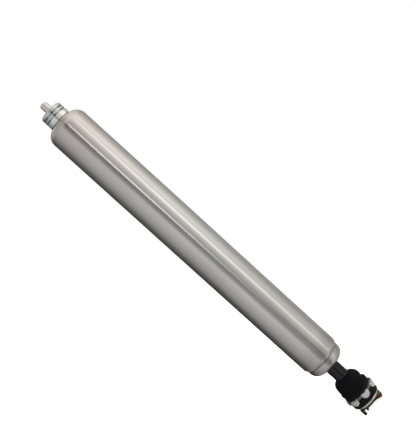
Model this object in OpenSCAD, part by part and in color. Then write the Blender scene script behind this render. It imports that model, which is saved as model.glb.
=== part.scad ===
// Lockable gas spring of a swivel chair, upright on its foot. Millimetres.
// The axis is Z, the release pin points up, and z = 0 is the lowest point of the retaining clip.
// It is drawn almost fully compressed, with a short stretch of the piston rod bare.

/* [Pressure tube] */
// Outer diameter of the ground steel tube
tube_d = 28; // [27:0.5:30]
// Wall of the tube
tube_wall = 1.5; // [1.2:0.1:1.8]
// Outer radius of the spun shoulder arc at the valve end
shoulder_r = 7.3; // [7.1:0.1:9]
// Outer diameter of the swaged lower end
swage_d = 25.8; // [25:0.1:26.5]
// Length of the swaged lower end, up to the foot of the cone
swage_len = 7.8; // [7.3:0.1:12]
// Height of the cone between the swaged end and the full diameter
swage_cone_h = 2.1; // [1.5:0.1:3.5]
// Outer radius of the rolled-in end
curl_r = 5.8; // [5.2:0.1:6.5]
// Diameter of the opening that the rolled-in end leaves
mouth_d = 14.6; // [13.8:0.1:15.2]
// Radius of the wheel that rolled the crease under the cone
crease_r = 0.35; // [0.25:0.05:0.6]
// Depth of that crease
crease_depth = 0.2; // [0.1:0.05:0.3]

/* [Inner tube] */
// Outer diameter of the inner tube
inner_d = 19; // [18.5:0.1:20]
// Wall of the inner tube
inner_wall = 1; // [0.8:0.1:1.2]

/* [Valve body] */
// Diameter of the plated neck
neck_d = 15.5; // [14.8:0.1:16]
// Length of the neck above the tube
neck_len = 9.7; // [8:0.05:12]
// Diameter of the neck's root, which the spun edge of the tube closes on
neck_root_d = 15.1; // [14.6:0.1:15.3]
// Height of the root that shows above the tube
neck_root_h = 0.3; // [0.1:0.1:0.8]
// Radius of the rounded rim of the neck
neck_round = 1.9; // [1:0.1:2.2]
// Width of the two grooves round the neck
groove_w = 1; // [0.6:0.1:1.3]
// Depth from the rim of the neck to the first groove
groove_from_rim = 3.15; // [2.9:0.05:3.4]
// Distance between the two grooves
groove_pitch = 2.35; // [1.8:0.05:2.8]
// Length of the head that fills the tube under the shoulder
head_len = 7.7; // [6:0.1:12]
// Height of the open gallery under the head
gallery_h = 2.5; // [2:0.1:4]
// Step from the gallery's wall to the inner tube that butts against it
gallery_step = 0.7; // [0.3:0.1:1]
// Length of the spigot that holds the inner tube
spigot_len = 8; // [8:0.5:12]
// Diameter of the bore that takes the valve seals
cartridge_d = 9.2; // [8.8:0.1:9.6]
// Length of the bore that guides the release pin
pin_guide_len = 7.5; // [6:0.1:8.5]
// Diameter of the cross port into the gallery
port_d = 1.2; // [0.8:0.1:1.6]
// Height of the inturned lip at the foot of the valve body
lip_h = 1; // [0.8:0.1:1.5]
// Section diameter of the ring seal on the head
head_cord = 2.6; // [2:0.1:3]
// Section diameter of the ring seal on the spigot
spigot_cord = 1.8; // [1.4:0.1:2]

/* [Valve stem and release pin] */
// Diameter of the valve stem
stem_d = 4; // [3.6:0.1:4.2]
// Diameter of the stem's waist, which opens the port
waist_d = 2.6; // [2:0.1:3]
// Diameter of the stem's lower head
stem_head_d = 6; // [5.4:0.1:6.4]
// Height of the stem's lower head
stem_head_h = 2.1; // [1.6:0.1:3]
// Edge radius of that head
stem_edge_r = 0.5; // [0.2:0.1:0.8]
// Thickness of the valve seat ring
seat_t = 2.2; // [1.8:0.1:2.6]
// Height of the upper stem guide
stem_guide_h = 4; // [3:0.1:5]
// Diameter of the release pin
pin_d = 5.2; // [4.8:0.1:5.6]
// Length of the release pin that shows above the neck
pin_out = 6.35; // [5:0.05:8]
// Radius of the rounded tip of the pin
pin_round = 1.7; // [0.8:0.1:2.2]
// Diameter of the collar that keeps the pin in the neck
pin_collar_d = 7.4; // [6.8:0.1:8]
// Height of that collar
pin_collar_h = 3.4; // [2.5:0.1:4]
// Travel of the release pin
pin_travel = 3.5; // [2:0.1:3.8]

/* [Rod and piston] */
// Diameter of the piston rod
rod_d = 10; // [9.6:0.1:10.2]
// Bare length of rod between the bumper and the tube
rod_shown = 9.9; // [2:0.1:30]
// Full travel of the tube on the rod
stroke = 140; // [100:5:200]
// Diameter of the riveted spigot on top of the rod
rod_spigot_d = 7; // [6:0.1:8]
// Length of the piston
piston_len = 10; // [8:0.5:14]
// Section diameter of the piston's ring seal
piston_cord = 3; // [2.5:0.1:3.5]
// Diameter of the piston washer
piston_washer_d = 13; // [11:0.5:15]
// Thickness of the piston washer
piston_washer_t = 1.5; // [1:0.1:2.5]
// Edge radius of the stamped washers
washer_edge_r = 0.3; // [0.1:0.05:0.4]
// Diameter of the riveted head above the piston washer
rivet_d = 8.5; // [8:0.1:10]
// Height of the riveted head
rivet_h = 1.5; // [1:0.1:2]

/* [Rod guide] */
// Thickness of the support washer under the rod seal
support_t = 2; // [1.5:0.1:3]
// Height of the rod seal
seal_h = 7; // [6:0.5:9]
// Width of a lip of the rod seal
seal_lip = 1.2; // [0.8:0.1:1.4]
// Height of the centring sleeve's flange
sleeve_flange_h = 6; // [5:0.5:8]
// Length of the centring sleeve above its flange, up to where the piston stops
sleeve_len = 20.7; // [8:0.1:40]
// Wall of the centring sleeve inside the inner tube
sleeve_wall = 2; // [1.5:0.1:2.4]
// Number of flow slots in the flange
slot_count = 6; // [4:1:8]
// Width of a flow slot
slot_w = 3; // [2:0.1:4]
// Diameter of the cross hole behind a flow slot
slot_hole_d = 1.8; // [1:0.1:2.4]

/* [Rubber bumper] */
// Height of the bumper
bumper_h = 12.1; // [11:0.1:15]
// Diameter of the bumper's upper collar
bumper_upper_d = 18.4; // [17.6:0.1:19.6]
// Radius of the bumper's domed top
bumper_dome_r = 5.4; // [4:0.1:5.6]
// Diameter of the bumper's lower collar
bumper_lower_d = 20.4; // [19.8:0.1:22]
// Height of the bumper's lower collar
bumper_lower_h = 2.8; // [2.6:0.1:3.6]
// Edge radius of the bumper's lower collar
bumper_edge_r = 1.2; // [0.8:0.1:1.3]
// Radius of the waist between the collars
waist_r = 1.1; // [0.7:0.1:1.5]
// Depth of the waist into the upper collar
waist_depth = 0.35; // [0.2:0.05:0.6]
// Height of the middle of the waist above the lower collar
waist_rise = 0.9; // [0.6:0.1:1.5]

/* [Thrust bearing] */
// Diameter of a ball
ball_d = 4.5; // [4.3:0.1:4.8]
// Number of balls
ball_count = 7; // [5:1:7]
// Angle that the ball cage stands turned from the front
cage_angle = 10; // [0:1:50]
// Clearance between the balls and the rod
ball_gap = 0.25; // [0.15:0.05:0.6]
// Depth of the ball track in each race
track_depth = 1.05; // [0.9:0.05:1.1]
// Width of the upper race outside the circle the balls run on
upper_race_land = 2.55; // [2.5:0.05:2.8]
// Thickness of the upper race
upper_race_t = 2.75; // [2.3:0.05:3.5]
// Width of the lower race outside that circle
lower_race_land = 2.65; // [2.5:0.05:2.8]
// Thickness of the lower race
lower_race_t = 4.8; // [3.5:0.05:6]
// Edge radius of both races
race_edge_r = 0.4; // [0.2:0.1:0.6]
// Reach of the ball cage outside that circle
cage_land = 3.6; // [3.4:0.1:3.8]
// Height of the cage's band
cage_band_h = 1.25; // [1:0.05:1.7]
// Wall of a round lobe of the cage over its ball
lobe_wall = 0.75; // [0.5:0.05:0.9]
// Depth of the dip in the band's upper edge over each lobe
dip_depth = 0.5; // [0.2:0.05:0.6]
// Radius of that dip
dip_r = 4; // [3:0.1:6]

/* [Washer and clip] */
// Diameter of the thin washer
washer_d = 18.1; // [17:0.1:18.4]
// Thickness of the thin washer
washer_t = 1.6; // [0.8:0.1:2]
// Height of the pressed retaining clip
clip_h = 4.1; // [3.9:0.05:5.5]
// Sheet thickness of the clip
clip_t = 1; // [0.8:0.1:1.3]
// Width of the clip across its two side walls
clip_w = 13.8; // [13:0.1:15]
// Inner radius of the clip's bends
clip_bend_r = 0.3; // [0.1:0.1:0.8]
// Reach of the clip's closed end from the axis
clip_reach = 8.6; // [8.3:0.1:9.5]
// How far the closed end bulges out below its bend, and draws in again
clip_bulge = 0.5; // [0.2:0.1:0.7]
// Height of that bulge
clip_bulge_h = 2.9; // [2.4:0.1:3.3]
// Height of the closed end's lower edge
clip_heel_h = 0.85; // [0.5:0.05:1.2]
// Reach of the deep part of a side wall from the axis
wall_deep_x = 3.4; // [2:0.1:5]
// Height of a side wall's lower edge between its deep part and its knob
wall_low_h = 2.2; // [1.9:0.1:2.5]
// Distance of the knob on a side wall from the axis
knob_x = 4.6; // [3.8:0.1:5]
// Width of the knob
knob_w = 1.5; // [1:0.1:1.8]
// Height of the knob's lowest point
knob_h = 1.1; // [0.8:0.05:1.4]
// Reach of the clip's two tails from the axis
tail_reach = 8.7; // [8.5:0.1:9.2]
// Width of a tail
tail_w = 2; // [1.4:0.1:2.2]
// Depth of the groove in the rod that the clip grips
clip_groove_depth = 1.1; // [0.8:0.1:1.4]
// How much narrower than that groove the clip's slot is, so that it snaps on
clip_snap = 0.8; // [0.4:0.1:1.2]
// Height of the rod's end below the clip groove
rod_lip_h = 1.35; // [0.9:0.05:1.6]
// Chamfer of the rod's end
rod_chamfer = 0.7; // [0.3:0.1:0.8]

/* [Fits] */
// Radial clearance of sliding and running fits
fit = 0.05; // [0.03:0.01:0.08]
// Radial clearance round the rod of the race that does not turn with it
race_fit = 0.3; // [0.2:0.05:0.4]
// Clearance between the ball cage and what it runs past
cage_gap = 0.25; // [0.2:0.05:0.3]
// Clearance at the end of a travel
stop_gap = 0.3; // [0.2:0.05:0.5]

/* [Hidden] */
$fn = 96;
over = 1;

// Width of a ring seal's groove, in diameters of its section
groove_share = 1.2;

// Bearing
rod_r = rod_d / 2;
ball_circle_r = rod_r + ball_gap + ball_d / 2;
upper_race_r = ball_circle_r + upper_race_land;
lower_race_r = ball_circle_r + lower_race_land;
cage_r = ball_circle_r + cage_land;
lobe_r = ball_d / 2 + lobe_wall;
race_gap = ball_d - 2 * track_depth;

// Levels of the foot stack, from the clip up
z_clip = clip_h;
z_washer = z_clip + washer_t;
z_lower_race = z_washer + lower_race_t;
z_ball = z_lower_race + race_gap / 2;
z_upper_race = z_lower_race + race_gap;
z_bumper = z_upper_race + upper_race_t;
z_bumper_top = z_bumper + bumper_h;

// Levels of the tube, from its rolled end up
z_end = z_bumper_top + rod_shown;
z_curl = z_end + curl_r;
z_cone = z_end + swage_len;
z_body = z_cone + swage_cone_h;
tube_r = tube_d / 2;
bore_r = tube_r - tube_wall;
swage_r = swage_d / 2;
neck_hole_r = neck_root_d / 2 + fit;
shoulder_c = tube_r - shoulder_r;
shoulder_h = sqrt(pow(shoulder_r, 2) - pow(neck_hole_r - shoulder_c, 2));

// Levels of the rod guide, from the rolled end up
z_guide = z_end + tube_wall + fit;
z_support = z_body;
z_rod_seal = z_support + support_t;
z_flange = z_rod_seal + seal_h;
z_inner = z_flange + sleeve_flange_h;
z_travel_stop = z_inner + sleeve_len;

// Levels of the rod and its piston, which the sleeve stops with the rod fully out
z_rod_end = z_clip - clip_t - fit - rod_lip_h;
z_piston = z_travel_stop + stroke - rod_shown + 2 * stop_gap;
z_piston_top = z_piston + piston_len;
z_rivet = z_piston_top + piston_washer_t;
z_rod_top = z_rivet + rivet_h;

// Levels of the valve, which the rod just clears with the tube on the bumper and the pin pushed in
z_stem_low = z_rod_top + rod_shown + stop_gap + pin_travel;
z_seat = z_stem_low + stem_head_h + fit;
z_spigot = z_seat - lip_h;
z_inner_top = z_spigot + spigot_len;
z_port = z_inner_top + gallery_h / 2;
z_head = z_inner_top + gallery_h;
z_shoulder = z_head + head_len;
z_tube_top = z_shoulder + shoulder_h;
z_neck_top = z_tube_top + neck_len;
z_pin_tip = z_neck_top + pin_out;
z_pin_step = z_neck_top - pin_guide_len;
z_collar = z_pin_step - pin_collar_h;

// The valve's inner pieces, which lie evenly below and above the port
cartridge_r = cartridge_d / 2;
stem_r = stem_d / 2;
stem_cord = cartridge_r - stem_r - stop_gap;
seal_c = (cartridge_r + stem_r) / 2;
z_seal_low = z_seat + seat_t + fit;
z_sleeve = z_seal_low + stem_cord + fit;
z_sleeve_top = 2 * z_port - z_sleeve;
z_seal_high = z_sleeve_top + fit;
z_stem_guide = z_seal_high + stem_cord + fit;

// Fits of the inner tube
inner_r = inner_d / 2;
inner_bore_r = inner_r - inner_wall;
spigot_r = inner_bore_r - fit;
piston_r = inner_bore_r - fit;
gallery_r = inner_r + gallery_step;

// A band of the revolved outline, from radius r0 to r1 and height z0 to z1
module band(r0, r1, z0, z1) {
  translate([r0, z0]) square([r1 - r0, z1 - z0]);
}

// A quarter disc on centre (r, z) that points out and up, or out and down
module quarter(r, z, radius, up) {
  intersection() {
    translate([r, z]) circle(radius);
    translate([r, up ? z : z - radius - over]) square(radius + over);
  }
}

// A band whose two outer corners are rounded
module soft_band(r0, r1, z0, z1, radius) {
  band(r0, r1 - radius, z0, z1);
  band(r1 - radius, r1, z0 + radius, z1 - radius);
  quarter(r1 - radius, z0 + radius, radius, false);
  quarter(r1 - radius, z1 - radius, radius, true);
}

// A ring seal of round section
module ring_seal(centre_r, z, cord) {
  color("dimgray") rotate_extrude() translate([centre_r, z]) circle(cord / 2);
}

// The groove for a ring seal of that section, cut into a face of radius face_r at height z
module seal_groove(face_r, z, cord) {
  half_w = cord * groove_share / 2;
  band(face_r - cord - fit, face_r + over, z - half_w, z + half_w);
}

// The tube's filled outline, drawn in by inset all over
module tube_outline(inset) {
  band(0, tube_r - inset, z_body, z_shoulder);
  polygon([
    [0, z_cone],
    [swage_r - inset, z_cone],
    [tube_r - inset, z_body],
    [0, z_body]
  ]);
  band(0, swage_r - inset, z_curl, z_cone);
  band(0, swage_r - curl_r, z_curl - curl_r + inset, z_curl);
  quarter(swage_r - curl_r, z_curl, curl_r - inset, false);
  band(0, shoulder_c, z_shoulder, z_shoulder + shoulder_r - inset);
  quarter(shoulder_c, z_shoulder, shoulder_r - inset, true);
}

// Steel tube, spun over the valve at the top and rolled over the rod guide at the bottom
module pressure_tube() {
  color("gainsboro") rotate_extrude() difference() {
    tube_outline(0);
    tube_outline(tube_wall);
    band(0, neck_hole_r, z_shoulder, z_tube_top + shoulder_r);
    band(0, mouth_d / 2, z_end - over, z_curl);
    translate([swage_r + crease_r - crease_depth, z_cone - crease_r]) circle(crease_r);
  }
}

// Inner tube that the piston runs in; the space round it is the return channel
module inner_tube() {
  color("silver") rotate_extrude() band(inner_bore_r, inner_r, z_inner, z_inner_top);
}

// Plated valve body: neck, head under the spun shoulder, gallery and spigot
module valve_body() {
  head_r = bore_r - fit;
  dome_r = shoulder_r - tube_wall - fit;
  neck_r = neck_d / 2;
  z_head_seal = z_head + head_len / 2;
  z_spigot_seal = z_spigot + spigot_len / 2;
  color("lightsteelblue") difference() {
    rotate_extrude() difference() {
      union() {
        band(0, head_r, z_head, z_shoulder);
        band(0, shoulder_c, z_shoulder, z_shoulder + dome_r);
        quarter(shoulder_c, z_shoulder, dome_r, true);
        band(0, neck_root_d / 2, z_shoulder, z_tube_top + neck_root_h);
        band(0, neck_r, z_tube_top + neck_root_h, z_neck_top - neck_round);
        band(0, neck_r - neck_round, z_neck_top - neck_round, z_neck_top);
        quarter(neck_r - neck_round, z_neck_top - neck_round, neck_round, true);
        band(0, gallery_r, z_inner_top, z_head);
        band(0, spigot_r, z_spigot, z_inner_top);
      }
      for (i = [0, 1])
        translate([neck_r, z_neck_top - groove_from_rim - i * groove_pitch]) circle(groove_w / 2);
      seal_groove(head_r, z_head_seal, head_cord);
      seal_groove(spigot_r, z_spigot_seal, spigot_cord);
      band(0, pin_d / 2 + fit, z_pin_step - over, z_neck_top + over);
      band(0, cartridge_r, z_seat, z_pin_step);
      band(0, stem_head_d / 2 + stop_gap, z_spigot - over, z_seat + over);
    }
    translate([0, 0, z_port]) rotate([0, 90, 0]) cylinder(d = port_d, h = gallery_r + over);
  }
}

// Ring seal between the valve body's head and the pressure tube
module head_seal() {
  ring_seal(bore_r - fit - head_cord / 2, z_head + head_len / 2, head_cord);
}

// Ring seal between the valve body's spigot and the inner tube
module spigot_seal() {
  ring_seal(spigot_r - spigot_cord / 2, z_spigot + spigot_len / 2, spigot_cord);
}

// Bush above the upper stem seal
module stem_guide() {
  color("burlywood") rotate_extrude()
    band(stem_r + fit, cartridge_r - fit, z_stem_guide, z_stem_guide + stem_guide_h);
}

// Two equal ring seals, one below and one above the port sleeve
module stem_seals() {
  for (z = [z_seal_low, z_seal_high])
    ring_seal(seal_c, z + stem_cord / 2, stem_cord);
}

// Sleeve between the two stem seals, with the cross port through its wall
module port_sleeve() {
  color("tan") difference() {
    rotate_extrude() band(stem_r + stop_gap, cartridge_r - fit, z_sleeve, z_sleeve_top);
    translate([0, 0, z_port]) rotate([0, 90, 0]) cylinder(d = port_d, h = cartridge_d, center = true);
  }
}

// Ring that the stem's head closes against
module valve_seat() {
  color("tan") rotate_extrude() band(stem_r + fit, cartridge_r - fit, z_seat, z_seat + seat_t);
}

// Waisted stem, pushed down by the release pin
module valve_stem() {
  z_waist = z_sleeve + stop_gap;
  color("silver") rotate_extrude() {
    soft_band(0, stem_head_d / 2, z_stem_low, z_seat - fit, stem_edge_r);
    band(0, stem_r, z_seat - fit, z_waist);
    band(0, waist_d / 2, z_waist, z_sleeve_top - stop_gap);
    band(0, stem_r, z_sleeve_top - stop_gap, z_collar);
  }
}

// Release pin with its rounded tip and the collar that holds it in the neck
module release_pin() {
  pin_r = pin_d / 2;
  color("rosybrown") rotate_extrude() {
    band(0, pin_collar_d / 2, z_collar, z_pin_step);
    band(0, pin_r, z_pin_step, z_pin_tip - pin_round);
    band(0, pin_r - pin_round, z_pin_tip - pin_round, z_pin_tip);
    quarter(pin_r - pin_round, z_pin_tip - pin_round, pin_round, true);
  }
}

// Hard black rod: clip groove at the foot, riveted spigot at the top
module piston_rod() {
  z_groove = z_rod_end + rod_lip_h;
  rivet_edge_r = rivet_h / 2;
  rivet_flat_r = rivet_d / 2 - rivet_edge_r;
  color("darkslategray") rotate_extrude() {
    polygon([
      [0, z_rod_end],
      [rod_r - rod_chamfer, z_rod_end],
      [rod_r, z_rod_end + rod_chamfer],
      [rod_r, z_groove],
      [0, z_groove]
    ]);
    band(0, rod_r - clip_groove_depth, z_groove, z_clip + fit);
    band(0, rod_r, z_clip + fit, z_piston);
    band(0, rod_spigot_d / 2, z_piston, z_rivet);
    band(0, rivet_flat_r, z_rivet, z_rod_top);
    band(rivet_flat_r, rivet_d / 2, z_rivet, z_rod_top - rivet_edge_r);
    quarter(rivet_flat_r, z_rod_top - rivet_edge_r, rivet_edge_r, true);
  }
}

// Piston with its ring groove, riveted on the rod's spigot
module piston() {
  color("lightgray") rotate_extrude() difference() {
    band(rod_spigot_d / 2 + fit, piston_r, z_piston, z_piston_top);
    seal_groove(piston_r, z_piston + piston_len / 2, piston_cord);
  }
}

// Ring seal of the piston in the inner tube
module piston_seal() {
  ring_seal(piston_r - piston_cord / 2, z_piston + piston_len / 2, piston_cord);
}

// Washer that the riveted head of the rod clamps on the piston
module piston_washer() {
  color("silver") rotate_extrude()
    soft_band(rod_spigot_d / 2 + fit, piston_washer_d / 2, z_piston_top, z_rivet, washer_edge_r);
}

// Bush that guides the rod and fills the rolled end of the tube
module rod_guide() {
  wall = tube_wall + fit;
  color("dimgray") rotate_extrude() difference() {
    union() {
      band(0, swage_r - wall, z_curl, z_support);
      band(0, swage_r - curl_r, z_guide, z_curl);
      quarter(swage_r - curl_r, z_curl, curl_r - wall, false);
    }
    band(0, rod_r + fit, z_guide - over, z_support + over);
  }
}

// Flat washer that carries the rod seal on the cone of the tube
module support_washer() {
  color("silver") rotate_extrude() band(rod_r + stop_gap, bore_r - fit, z_support, z_rod_seal);
}

// Rod seal with a lip at each end and a hollow back above
module rod_seal() {
  body_r = rod_r + seal_lip;
  seal_r = bore_r - fit;
  color("dimgray") rotate_extrude() difference() {
    band(rod_r + fit, seal_r, z_rod_seal, z_flange);
    polygon([
      [rod_r, z_rod_seal + seal_lip],
      [body_r, z_rod_seal + 2 * seal_lip],
      [body_r, z_flange - 2 * seal_lip],
      [rod_r, z_flange - seal_lip]
    ]);
    polygon([
      [body_r, z_flange + seal_lip],
      [body_r, z_flange],
      [body_r + seal_lip, z_flange - 2 * seal_lip],
      [seal_r - 2 * seal_lip, z_flange - 2 * seal_lip],
      [seal_r - seal_lip, z_flange],
      [seal_r - seal_lip, z_flange + seal_lip]
    ]);
  }
}

// Sleeve that centres the inner tube, lets the flow round, and stops the piston
module centring_sleeve() {
  outer_r = inner_bore_r - fit;
  flange_r = bore_r - fit;
  color("darkgray") difference() {
    rotate_extrude() {
      band(outer_r - sleeve_wall, flange_r, z_flange, z_inner);
      band(outer_r - sleeve_wall, outer_r, z_inner, z_travel_stop);
    }
    for (i = [0 : slot_count - 1])
      rotate([0, 0, 360 * i / slot_count]) {
        translate([inner_r, -slot_w / 2, z_flange - over])
          cube([flange_r, slot_w, sleeve_flange_h + 2 * over]);
        translate([0, 0, z_flange + sleeve_flange_h / 2]) rotate([0, 90, 0])
          cylinder(d = slot_hole_d, h = flange_r);
      }
  }
}

// Rubber bumper that the rolled end of the tube lands on
module rubber_bumper() {
  upper_r = bumper_upper_d / 2;
  z_lower_top = z_bumper + bumper_lower_h;
  color("black") rotate_extrude() difference() {
    union() {
      soft_band(0, bumper_lower_d / 2, z_bumper, z_lower_top, bumper_edge_r);
      band(0, upper_r, z_lower_top, z_bumper_top - bumper_dome_r);
      band(0, upper_r - bumper_dome_r, z_bumper_top - bumper_dome_r, z_bumper_top);
      quarter(upper_r - bumper_dome_r, z_bumper_top - bumper_dome_r, bumper_dome_r, true);
    }
    translate([upper_r - waist_depth + waist_r, z_lower_top + waist_rise]) circle(waist_r);
    band(0, rod_r + fit, z_bumper - over, z_bumper_top + over);
  }
}

// The track that the balls run in, cut from both races
module ball_track() {
  translate([ball_circle_r, z_ball]) circle(ball_d / 2 + fit);
}

// Upper race, pressed on the rod under the bumper
module upper_race() {
  color("black") rotate_extrude() difference() {
    soft_band(rod_r + fit, upper_race_r, z_upper_race, z_bumper, race_edge_r);
    ball_track();
  }
}

// Lower race, which rests on the column's base plate and lets the rod turn in it
module lower_race() {
  color("black") rotate_extrude() difference() {
    soft_band(rod_r + race_fit, lower_race_r, z_washer, z_lower_race, race_edge_r);
    ball_track();
  }
}

// Places its children at each ball
module each_ball() {
  for (i = [0 : ball_count - 1])
    rotate([0, 0, 360 * i / ball_count - 90]) children();
}

// Balls of the thrust bearing
module bearing_balls() {
  color("white") rotate([0, 0, cage_angle])
    each_ball() translate([ball_circle_r, 0, z_ball]) sphere(d = ball_d);
}

// Moulded ball cage: a flat band with a round lobe over the outside of each ball, dipped above it
module ball_cage() {
  hole_r = rod_r + race_fit + cage_gap;
  rim_r = lower_race_r + cage_gap;
  z_band = z_upper_race - cage_gap;
  color("lightgray") rotate([0, 0, cage_angle]) difference() {
    union() {
      rotate_extrude() band(hole_r, cage_r, z_band - cage_band_h, z_band);
      intersection() {
        each_ball() translate([0, 0, z_ball]) rotate([0, 90, 0]) cylinder(r = lobe_r, h = cage_r + over);
        rotate_extrude() {
          band(hole_r, rim_r, z_lower_race + cage_gap, z_band);
          band(rim_r, cage_r, z_ball - lobe_r - over, z_band);
        }
      }
    }
    each_ball() translate([ball_circle_r, 0, z_ball]) sphere(d = ball_d + 2 * fit);
    each_ball() translate([ball_circle_r, 0, z_band + dip_r - dip_depth]) rotate([0, 90, 0])
      cylinder(r = dip_r, h = cage_r);
  }
}

// Thin washer between the lower race and the clip
module foot_washer() {
  color("antiquewhite") rotate_extrude()
    soft_band(rod_r + fit, washer_d / 2, z_clip, z_washer, washer_edge_r);
}

// Filled cross-section of the clip, drawn in by inset: x across, y up
module clip_section(inset) {
  half_w = clip_w / 2 - inset;
  bend_r = clip_bend_r + clip_t - inset;
  z_top = z_clip - inset;
  for (side = [0, 1])
    mirror([side, 0]) {
      band(0, half_w - bend_r, -over, z_top);
      band(half_w - bend_r, half_w, -over, z_top - bend_r);
      quarter(half_w - bend_r, z_top - bend_r, bend_r, true);
    }
}

// Filled outline of the clip from the side, with square ends on its knob and tail
module clip_outline() {
  z_gap = z_clip - clip_t - clip_bend_r / 2;
  z_knob = knob_h + knob_w / 2;
  polygon([
    [-tail_reach, z_clip],
    [clip_reach, z_clip],
    [clip_reach + clip_bulge, clip_bulge_h],
    [clip_reach - clip_bulge, clip_heel_h],
    [clip_reach - clip_bulge - clip_t, clip_heel_h],
    [wall_deep_x, wall_low_h],
    [knob_w / 2 - knob_x, wall_low_h],
    [knob_w / 2 - knob_x, z_knob],
    [-knob_w / 2 - knob_x, z_knob],
    [-knob_w / 2 - knob_x, z_gap],
    [tail_w - tail_reach, z_gap],
    [tail_w - tail_reach, tail_w / 2],
    [-tail_reach, tail_w / 2]
  ]);
}

// Round end of the knob on a side wall, from the side
module clip_knob() {
  translate([-knob_x, knob_h + knob_w / 2]) circle(knob_w / 2);
}

// Round end of a tail, from the side
module clip_tail() {
  translate([tail_w / 2 - tail_reach, tail_w / 2]) circle(tail_w / 2);
}

// What the bent sheet encloses, from the side: all that lies behind the closed end
module clip_hollow() {
  polygon([
    [-tail_reach - over, -over],
    [clip_reach - clip_bulge - clip_t, -over],
    [clip_reach - clip_bulge - clip_t, clip_heel_h],
    [clip_reach + clip_bulge - clip_t, clip_bulge_h],
    [clip_reach - clip_t, z_clip],
    [-tail_reach - over, z_clip]
  ]);
}

// Gives its children, drawn from the side, the clip's cross-section drawn in by inset
module clip_press(inset) {
  length = tail_reach + clip_reach + clip_bulge + 2 * over;
  intersection() {
    translate([-tail_reach - over, 0, 0]) rotate([90, 0, 90]) linear_extrude(length) clip_section(inset);
    union()
      for (i = [0 : $children - 1])
        rotate([90, 0, 0]) linear_extrude(clip_w + over, center = true) children(i);
  }
}

// Pressed spring clip: a slotted plate with a side wall down each flank and a turned-down closed end
module retaining_clip() {
  grip_r = rod_r - clip_groove_depth + fit;
  slot_half_w = grip_r - fit - clip_snap / 2;
  color("sienna") difference() {
    clip_press(0) {
      clip_outline();
      clip_knob();
      clip_tail();
    }
    clip_press(clip_t) clip_hollow();
    translate([0, 0, z_clip - clip_t - over]) linear_extrude(clip_t + 2 * over) {
      circle(grip_r);
      translate([-tail_reach - over, -slot_half_w]) square([tail_reach + over, 2 * slot_half_w]);
    }
  }
}

lower_race();
ball_cage();
bearing_balls();
piston_rod();
rubber_bumper();
upper_race();
foot_washer();
retaining_clip();
piston();
piston_seal();
piston_washer();
pressure_tube();
inner_tube();
valve_body();
head_seal();
spigot_seal();
stem_guide();
stem_seals();
port_sleeve();
valve_seat();
rod_guide();
support_washer();
rod_seal();
centring_sleeve();
release_pin();
valve_stem();
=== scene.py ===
# Lockable gas spring of a swivel chair, dressed for a studio picture.
# The sections follow the spring from its foot to its release pin, then the studio round it. Metres.
import math

import bmesh
import bpy
from mathutils import Matrix, Vector


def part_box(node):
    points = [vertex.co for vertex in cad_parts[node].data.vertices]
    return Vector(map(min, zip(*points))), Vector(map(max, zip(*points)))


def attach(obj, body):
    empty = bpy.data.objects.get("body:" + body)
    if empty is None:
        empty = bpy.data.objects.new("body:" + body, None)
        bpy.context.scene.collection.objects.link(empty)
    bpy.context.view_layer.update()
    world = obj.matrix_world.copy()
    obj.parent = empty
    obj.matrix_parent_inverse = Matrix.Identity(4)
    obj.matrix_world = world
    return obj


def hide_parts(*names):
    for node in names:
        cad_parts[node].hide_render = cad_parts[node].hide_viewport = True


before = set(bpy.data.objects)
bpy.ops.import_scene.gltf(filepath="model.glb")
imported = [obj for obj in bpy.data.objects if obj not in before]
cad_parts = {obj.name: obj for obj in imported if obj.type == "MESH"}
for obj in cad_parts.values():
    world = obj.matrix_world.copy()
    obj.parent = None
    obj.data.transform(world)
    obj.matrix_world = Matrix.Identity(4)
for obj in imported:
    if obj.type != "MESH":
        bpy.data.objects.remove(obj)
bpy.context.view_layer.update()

# Lower race and upper race
# Two turned rings of bearing steel with a ball track in their facing sides. They are blacked in a
# hot oxide bath, which leaves a thin dark skin over the fine rings that the lathe cut.

OXIDE_DARK = (0.0025, 0.0025, 0.003)
OXIDE_LIGHT = (0.008, 0.007, 0.007)
OXIDE_ROUGH = (0.5, 0.34)
OXIDE_PATCH = 0.0022
RACE_CUT_PITCH = 0.00022
RACE_EDGE = 0.0002


def finish(name, colour, metal, rough):
    """A material of one principled shader, as (material, its tree, that shader)."""
    mat = bpy.data.materials.new(name)
    mat.use_nodes = True
    tree = mat.node_tree
    shader = next(n for n in tree.nodes if n.type == "BSDF_PRINCIPLED")
    shader.inputs["Base Color"].default_value = (*colour, 1)
    shader.inputs["Metallic"].default_value = metal
    shader.inputs["Roughness"].default_value = rough
    return mat, tree, shader


def place(tree, stretch=(1, 1, 1)):
    """The point on the piece, in metres, with each axis drawn out by stretch."""
    point = tree.nodes.new("ShaderNodeTexCoord")
    scaled = tree.nodes.new("ShaderNodeMapping")
    scaled.inputs["Scale"].default_value = [1 / s for s in stretch]
    tree.links.new(point.outputs["Object"], scaled.inputs["Vector"])
    return scaled.outputs["Vector"]


def cloud(tree, size, detail=3.0, stretch=(1, 1, 1)):
    """Soft blotches about as wide as size, from 0 to 1."""
    noise = tree.nodes.new("ShaderNodeTexNoise")
    noise.inputs["Scale"].default_value = 1 / size
    noise.inputs["Detail"].default_value = detail
    tree.links.new(place(tree, stretch), noise.inputs["Vector"])
    return noise.outputs["Fac"]


def turned(tree, pitch, outward=False):
    """The fine lines that a lathe leaves at that pitch, along the axis or outward from it."""
    wave = tree.nodes.new("ShaderNodeTexWave")
    if outward:
        wave.wave_type = "RINGS"
        wave.rings_direction = "Z"
    else:
        wave.wave_type = "BANDS"
        wave.bands_direction = "Z"
    wave.inputs["Scale"].default_value = 1 / (pitch * 3.2)
    wave.inputs["Distortion"].default_value = 0.6
    wave.inputs["Detail"].default_value = 2.0
    wave.inputs["Detail Scale"].default_value = 1.5
    tree.links.new(place(tree), wave.inputs["Vector"])
    return wave.outputs["Fac"]


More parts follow.
